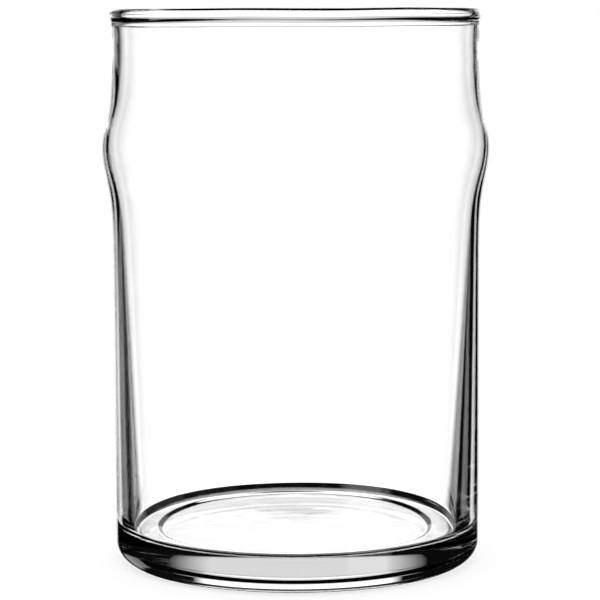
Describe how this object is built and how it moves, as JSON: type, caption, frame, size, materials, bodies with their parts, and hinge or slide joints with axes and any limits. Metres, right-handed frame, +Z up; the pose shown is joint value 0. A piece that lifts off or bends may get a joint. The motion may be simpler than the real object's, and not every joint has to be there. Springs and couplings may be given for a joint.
{
  "type": "pint glass",
  "caption": "Straight-sided clear glass tumbler with a swelling below its rolled lip and a heavy round-heeled base.",
  "frame": {"origin": "centre of the foot, on the surface that the glass stands on", "axes": "+Z up the axis of the glass towards its mouth; +X and +Y are equal, because the glass is round"},
  "size_m": [0.0828, 0.0828, 0.118],
  "materials": {
    "clear_glass": "clear colourless soda-lime glass, fire-polished inside and out"
  },
  "bodies": {
    "root": {"tumbler": "clear_glass"}
  },
  "joints": []
}
